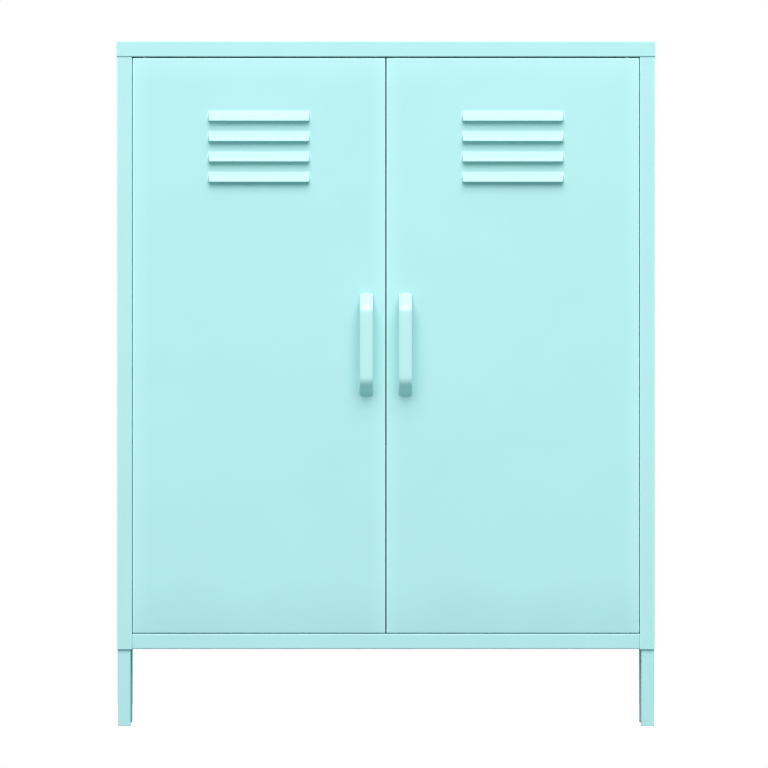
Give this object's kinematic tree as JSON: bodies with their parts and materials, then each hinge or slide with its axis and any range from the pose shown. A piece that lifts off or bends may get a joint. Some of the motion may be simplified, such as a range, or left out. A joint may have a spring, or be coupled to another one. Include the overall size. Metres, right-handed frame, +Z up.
{
  "type": "two-door locker cabinet",
  "caption": "Low steel locker cabinet on square legs, with louvred hinged doors, bow handles, magnetic catches and adjustable shelves.",
  "frame": {"origin": "on the floor, under the middle of the overall box, handles included", "axes": "+Z up, the doors face -Y, +X to the right seen from the front"},
  "size_m": [0.8, 0.4292, 1.016],
  "materials": {
    "body_paint": "pale mint powder coat, satin",
    "door_paint": "pale mint powder coat, satin",
    "handle_paint": "pale mint powder coat, satin",
    "leg_paint": "pale mint powder coat, satin",
    "glide_plastic": "moulded, matt",
    "dark_nylon": "moulded, matt",
    "catch_plastic": "moulded, matt",
    "magnet": "sintered ferrite, dark grey",
    "zinc_steel": "bright zinc plate"
  },
  "bodies": {
    "cabinet": {"top_panel": "body_paint", "top_stiffener": "body_paint", "bottom_panel": "body_paint", "back_joining_strip": "body_paint", "lower_shelf": "body_paint", "upper_shelf": "body_paint", "lower_shelf_clips": "zinc_steel", "upper_shelf_clips": "zinc_steel", "leg_backing_plates": "zinc_steel", "leg_nuts": "zinc_steel", "top_panel_screws": "zinc_steel", "top_panel_nuts": "zinc_steel", "back_panel_screws": "zinc_steel", "catch_screws": "zinc_steel", "left_front_upright": "body_paint", "right_front_upright": "body_paint", "left_rear_upright": "body_paint", "right_rear_upright": "body_paint", "left_front_leg": "leg_paint", "right_front_leg": "leg_paint", "left_rear_leg": "leg_paint", "right_rear_leg": "leg_paint", "left_front_glide": "glide_plastic", "right_front_glide": "glide_plastic", "left_rear_glide": "glide_plastic", "right_rear_glide": "glide_plastic", "left_side_panel": "body_paint", "right_side_panel": "body_paint", "left_back_panel": "body_paint", "right_back_panel": "body_paint", "left_catch_housing": "catch_plastic", "right_catch_housing": "catch_plastic", "left_catch_magnet": "magnet", "right_catch_magnet": "magnet", "left_upper_bush": "dark_nylon", "right_upper_bush": "dark_nylon", "left_lower_bush": "dark_nylon", "right_lower_bush": "dark_nylon"},
    "left_door": {"left_door_panel": "door_paint", "left_door_stiffener": "door_paint", "left_door_hinge_plates": "door_paint", "left_door_upper_pin": "zinc_steel", "left_door_lower_pin": "zinc_steel", "left_door_strike_plate": "zinc_steel", "left_door_handle": "handle_paint", "left_door_handle_screws": "zinc_steel"},
    "right_door": {"right_door_panel": "door_paint", "right_door_stiffener": "door_paint", "right_door_hinge_plates": "door_paint", "right_door_upper_pin": "zinc_steel", "right_door_lower_pin": "zinc_steel", "right_door_strike_plate": "zinc_steel", "right_door_handle": "handle_paint", "right_door_handle_screws": "zinc_steel"}
  },
  "joints": [
    {"name": "left_door_hinge", "type": "hinge", "parent": "cabinet", "child": "left_door", "pos_m": [-0.35775, -0.1786, 0.5643], "axis": [0, 0, -1], "range_deg": [0, 110]},
    {"name": "right_door_hinge", "type": "hinge", "parent": "cabinet", "child": "right_door", "pos_m": [0.35775, -0.1786, 0.5643], "axis": [0, 0, 1], "range_deg": [0, 110]}
  ]
}
